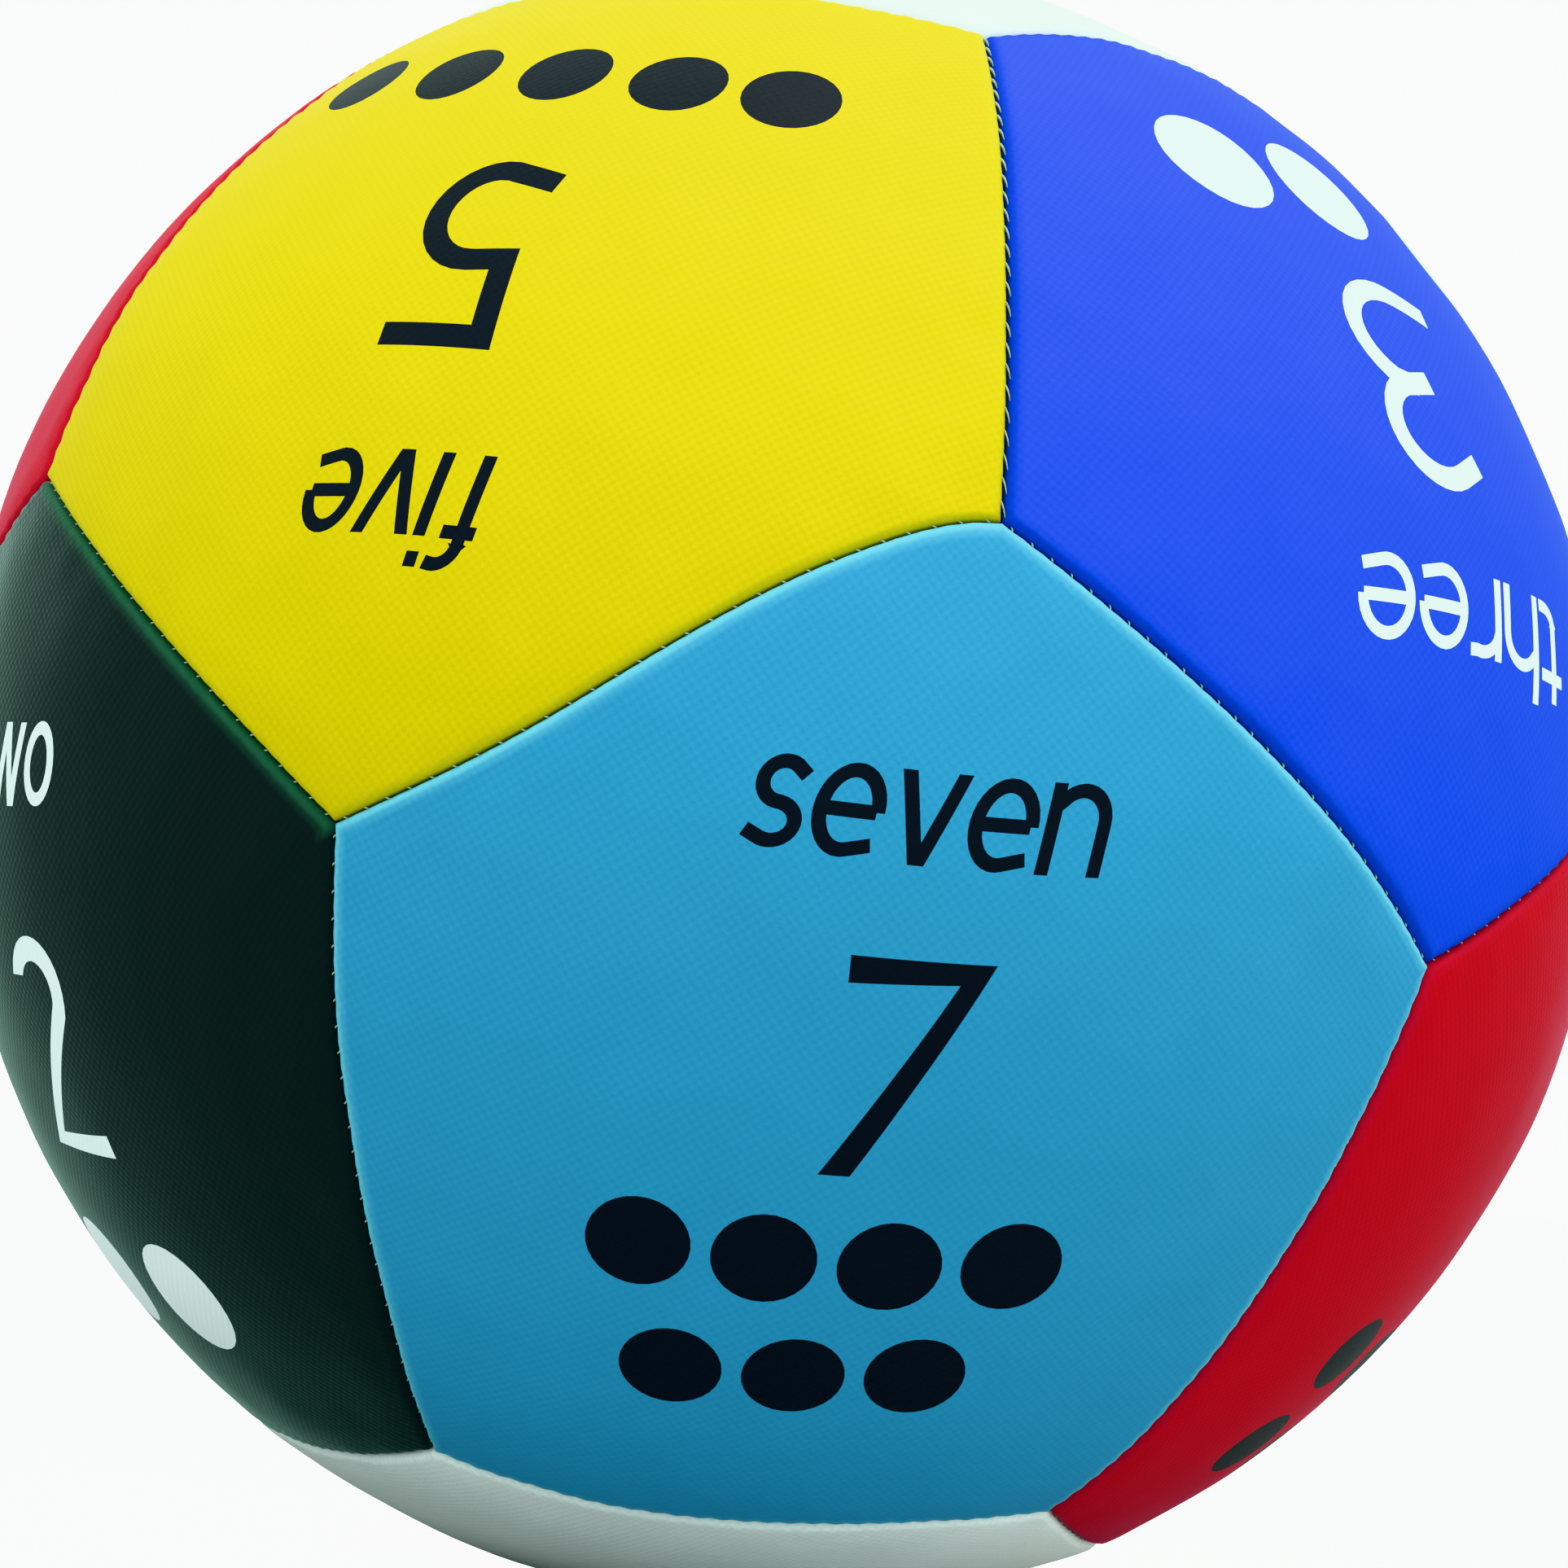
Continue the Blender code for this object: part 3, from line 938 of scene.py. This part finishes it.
def panel(number):
    """One sewn pentagon of printed cloth."""
    word, colour, _, _ = PANELS[number]
    axes = map_axes(number, PRINT[number].apex)
    places, maps, painted_edge_shares, faces, inks = [], [], [], [], []
    rings = []
    trios = corners_round(number)
    neighbours = [(set(a) & set(b) - {number}).pop() for a, b in zip(trios, trios[1:] + trios[:1])]
    edge_painted = [(number, neighbour) not in EDGES_UNPAINTED for neighbour in neighbours for _ in range(STEPS)]
    for distance, depth in edge_profile():
        ring_points = ring_at(number, distance, STEPS)
        start = len(places)
        rings.append(range(start, start + len(ring_points)))
        for i, v in enumerate(ring_points):
            near = smooth(1 - abs(distance - SCALLOP_FROM_SEAM) / SCALLOP_REACH)
            scallop = SCALLOP * math.cos(math.pi * i) * near
            height = RADIUS + swell(v, distance, number) - depth + scallop
            places.append(set_down(v, height))
            maps.append(to_map(v, axes))
            # share of painted light and shade on the rolled fold next to the seam
            painted_edge_shares.append(edge_painted[i] * smooth((PAINTED_EDGE_WIDTH - distance) / PAINTED_EDGE_BLEND))
    for inner, outer in zip(rings, rings[1:]):
        for i in range(len(inner)):
            j = (i + 1) % len(inner)
            faces.append((inner[i], outer[i], outer[j], inner[j]))
            inks.append(0)
    edge_ring = ring_at(number, PRINT_EDGE, STEPS)
    flat, triangles, inked, order = field(axes, edge_ring, print_strokes(number))
    place_of = {}
    for i, p in enumerate(flat):
        if i in order:
            place_of[i] = order[i]
            continue
        v = from_map(p, axes)
        distance = SEAM_TREE.find(v)[2] * RADIUS
        place_of[i] = len(places)
        places.append(set_down(v, RADIUS + swell(v, distance, number)))
        maps.append(p)
        painted_edge_shares.append(0)
    for face, ink in zip(triangles, inked):
        faces.append(tuple(place_of[i] for i in face))
        inks.append(int(ink))

    mesh = bpy.data.meshes.new(f"panel_{word}")
    mesh.from_pydata(places, [], faces)
    layer = mesh.uv_layers.new(name="cloth")
    for loop in mesh.loops:
        layer.data[loop.index].uv = maps[loop.vertex_index]
    mesh.attributes.new("painted_edge_light_shade", "FLOAT", "POINT").data.foreach_set("value", painted_edge_shares)
    for polygon, ink in zip(mesh.polygons, inks):
        polygon.material_index = ink
    mesh.validate()
    tidy = bmesh.new()
    tidy.from_mesh(mesh)
    loose = [v for v in tidy.verts if not v.link_faces]
    bmesh.ops.delete(tidy, geom=loose, context="VERTS")
    bmesh.ops.recalc_face_normals(tidy, faces=tidy.faces)
    crown = (CENTRE + FACE[number] * RADIUS) * MM
    middle = min(tidy.faces, key=lambda face: (face.calc_center_median() - crown).length)
    if middle.normal.dot(FACE[number]) < 0:
        bmesh.ops.reverse_faces(tidy, faces=tidy.faces)
    tidy.to_mesh(mesh)
    tidy.free()
    mesh.shade_smooth()

    piece = bpy.data.objects.new(f"cloth_panel_{word}", mesh)
    parts.objects.link(piece)
    ink = INK["pale" if colour in ("blue", "green") else "dark"]
    for finish in (CLOTHS[colour], ink, LINING, LINING):
        mesh.materials.append(finish)
    skin = piece.modifiers.new("thickness", "SOLIDIFY")
    skin.thickness = CLOTH * MM
    skin.offset = -1
    skin.material_offset = 2  # from a face's own material to its lining
    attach(piece, "root")
    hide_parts(f"panel_{word}_{colour}")


# The thread's radius, its depth below the cloth's swell, and half of the stitch's length
# across the groove and along it
Stitch = namedtuple("Stitch", "radius depth reach slant")
MACHINE_STITCH = Stitch(radius=0.12, depth=0.66, reach=0.24, slant=0.22)
GAPING_STITCH = Stitch(radius=0.19, depth=0.36, reach=0.30, slant=0.95)
HAND_STITCH = Stitch(radius=0.12, depth=0.66, reach=0.30, slant=0.22)
HAND_LEAN = 2.2  # every other stitch sewn by hand slants this many times as much
STITCH_BOW = 0.30  # how far its ends lie below its middle
STITCH_SIDES = 6
STITCH_SPANS = 4


def stitch(tidy, kind, centre, across, along, up, slant):
    """One short bar of thread over the groove, bowed outwards, with closed ends."""
    rows = []
    for i in range(STITCH_SPANS + 1):
        t = 2 * i / STITCH_SPANS - 1
        middle = centre + across * (kind.reach * t) + along * (slant * t) - up * (STITCH_BOW * t * t)
        row = []
        for side in range(STITCH_SIDES):
            turn = 2 * math.pi * side / STITCH_SIDES
            out = along * math.cos(turn) + up * math.sin(turn)
            row.append(tidy.verts.new((middle + out * kind.radius) * MM))
        rows.append(row)
    for a, b in zip(rows, rows[1:]):
        for i in range(STITCH_SIDES):
            j = (i + 1) % STITCH_SIDES
            tidy.faces.new((a[i], a[j], b[j], b[i]))
    tidy.faces.new(rows[0][::-1])
    tidy.faces.new(rows[-1])


def stitching(pair):
    """A seam's row of lockstitches, where they show between the two panels."""
    closing = pair == CLOSING_SEAM
    kind = {CLOSING_SEAM: HAND_STITCH, GAPING_SEAM: GAPING_STITCH}.get(pair, MACHINE_STITCH)
    run = seam_run(pair, STEPS)
    tidy = bmesh.new()
    for k in range(1, STEPS, 2):
        (v, across), (ahead, _), (behind, _) = run[k], run[k + 1], run[k - 1]
        along = (ahead - behind).normalized()
        across = (across - v * across.dot(v)).normalized()
        centre = CENTRE + v * (RADIUS + swell(v, 0, 0) - kind.depth)
        slant = kind.slant * (HAND_LEAN if closing and k % 4 == 1 else 1)
        stitch(tidy, kind, centre, across, along, v, slant)
    bmesh.ops.recalc_face_normals(tidy, faces=tidy.faces)
    use = "closing" if closing else "seam"
    mesh = bpy.data.meshes.new(f"{use}_stitches")
    tidy.to_mesh(mesh)
    tidy.free()
    mesh.shade_smooth()
    mesh.materials.append(THREAD)
    piece = bpy.data.objects.new(f"{use}_stitches_{pair[0]}_{pair[1]}", mesh)
    parts.objects.link(piece)
    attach(piece, "root")
    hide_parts(f"{use}_thread_{pair[0]}_{pair[1]}")


FILLING_GAP = 1.2  # cloth to filling
FILLING_VALLEY = 10.0  # depth of the valley under a seam
FILLING_SHOULDER = 3.8  # from the seam to where the filling starts to dip
FILLING_STEPS = 14  # per seam
FILLING_RINGS = 12
TUFT = ((16.0, 1.4), (6.0, 0.6))  # size and depth in mm


def filling():
    """Loose fibre: lumpy, full under each panel, with a valley under each seam."""
    points, faces, known = [], [], {}

    def index(v, depth, tufted):
        key = tuple(round(c, 5) for c in v)
        if key not in known:
            if tufted:
                for size, rise in TUFT:
                    depth += rise * (0.5 + 0.5 * noise.noise(v * RADIUS / size))
            place = CENTRE + v * (RADIUS - depth)
            place.z = max(place.z, CLOTH + FILLING_GAP)
            known[key] = len(points)
            points.append(place * MM)
        return known[key]

    base = CLOTH + SEAM_DIP + FILLING_GAP
    shares = [i / FILLING_RINGS for i in range(1, FILLING_RINGS)]
    for number, centre in FACE.items():
        shoulder = ring_at(number, FILLING_SHOULDER, FILLING_STEPS)
        rings = [[index(centre.slerp(v, share), base, True) for v in shoulder] for share in shares]
        rings.append([index(v, base, False) for v in shoulder])
        rings.append([index(v, FILLING_VALLEY, False) for v in ring_at(number, 0, FILLING_STEPS)])
        crown = index(centre, base, True)
        count = len(shoulder)
        for i in range(count):
            j = (i + 1) % count
            faces.append((crown, rings[0][i], rings[0][j]))
            for inner, outer in zip(rings, rings[1:]):
                faces.append((inner[i], outer[i], outer[j], inner[j]))
    mesh = bpy.data.meshes.new("fibre")
    mesh.from_pydata(points, [], faces)
    mesh.validate()
    mesh.shade_smooth()
    mesh.materials.append(FIBRE)
    piece = bpy.data.objects.new("stuffing", mesh)
    parts.objects.link(piece)
    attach(piece, "root")
    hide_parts("fibre_filling")


# ---------------------------------------------------------------- stage, light and camera

CAMERA_TURN = -9.94  # degrees, from -Y towards +X
CAMERA_RISE = -5.06  # degrees above the level of the ball's centre
CAMERA_ROLL = 8.10  # degrees
CAMERA_AWAY = 4.5  # ball radii from its centre
CAMERA_LENS = 83.1
CAMERA_SHIFT = (0.0023, -0.0020)
NEAREST_SEEN = 0.01  # metres

FLOOR_SIZE = 60  # metres
FLOOR_LEVEL = -0.0002  # metres
FLOOR_COLOUR = (0.45, 0.45, 0.45)
FLOOR_GLOW = (2.5, 2.5, 2.5)
FLOOR_GLOW_SHARE = 0.75
ROOM_LIGHT = (1.34, 1.70, 1.54)
ROOM_SEEN = (2.11, 2.14, 2.12)  # the room as the camera sees it

# The lamps' direction from the ball, light, angle across in degrees, and colour
SUNS = {
    "key": ((0.03, -0.31, 0.95), 0.76, 30, (0.95, 1.0, 0.95)),
    "fill": ((0.9, -0.3, 0.35), 0.058, 60, (1.0, 1.0, 1.0)),
}


def add_camera():
    """The camera, which is aimed at the ball's centre."""
    back = direction(CAMERA_RISE, CAMERA_TURN)
    level = Vector((0, 0, 1)).cross(back).normalized()
    upright = back.cross(level)
    roll = math.radians(CAMERA_ROLL)
    right = level * math.cos(roll) + upright * math.sin(roll)
    up = back.cross(right)
    data = bpy.data.cameras.new("camera")
    data.lens = CAMERA_LENS
    data.shift_x, data.shift_y = CAMERA_SHIFT
    data.clip_start = NEAREST_SEEN
    camera = bpy.data.objects.new("camera", data)
    place = Matrix((right, up, back)).transposed().to_4x4()
    place.translation = (CENTRE + back * CAMERA_AWAY * RADIUS) * MM
    camera.matrix_world = place
    bpy.context.scene.collection.objects.link(camera)
    bpy.context.scene.camera = camera


def add_sun(name, towards, strength, angle, colour):
    """A lamp far away in a direction. Its strength is the light that a surface facing it gets."""
    data = bpy.data.lights.new(name, "SUN")
    data.energy = strength * math.pi
    data.angle = math.radians(angle)
    data.color = colour
    lamp = bpy.data.objects.new(name, data)
    lamp.rotation_euler = Vector(towards).to_track_quat("Z", "Y").to_euler()
    bpy.context.scene.collection.objects.link(lamp)


def add_stage():
    """A plain pale floor. The camera sees it lighter than it is, and its shadow faint."""
    bpy.ops.mesh.primitive_plane_add(size=FLOOR_SIZE, location=(0, 0, FLOOR_LEVEL))
    floor = bpy.context.object
    floor.name = "floor"
    n = Nodes("pale_floor")
    n.shader.inputs["Base Color"].default_value = (*FLOOR_COLOUR, 1)
    n.shader.inputs["Roughness"].default_value = 0.95
    n.shader.inputs["Specular IOR Level"].default_value = 0.0
    glow, mix = n.add("Emission"), n.add("MixShader")
    glow.inputs["Color"].default_value = (*FLOOR_GLOW, 1)
    seen = n.math("MULTIPLY", n.add("LightPath").outputs["Is Camera Ray"], FLOOR_GLOW_SHARE)
    n.link(seen, mix.inputs[0])
    n.link(n.shader.outputs[0], mix.inputs[1])
    n.link(glow.outputs[0], mix.inputs[2])
    n.link(mix.outputs[0], n.tree.nodes["Material Output"].inputs["Surface"])
    floor.data.materials.append(n.material)


def add_world():
    """An even white room, brighter where the camera looks straight at it."""
    world = bpy.data.worlds.new("studio")
    world.use_nodes = True
    tree = world.node_tree
    glow = tree.nodes["Background"]
    path = tree.nodes.new("ShaderNodeLightPath")
    mix = tree.nodes.new("ShaderNodeMix")
    mix.data_type = "RGBA"
    mix.inputs["A"].default_value = (*ROOM_LIGHT, 1)
    mix.inputs["B"].default_value = (*ROOM_SEEN, 1)
    tree.links.new(path.outputs["Is Camera Ray"], mix.inputs["Factor"])
    tree.links.new(mix.outputs["Result"], glow.inputs["Color"])
    bpy.context.scene.world = world


add_camera()
add_stage()
add_world()
for name, lamp in SUNS.items():
    add_sun(name, *lamp)
bpy.context.scene.view_settings.view_transform = "Khronos PBR Neutral"

for number in PANELS:
    panel(number)
for pair in SEAMS:
    stitching(pair)
filling()
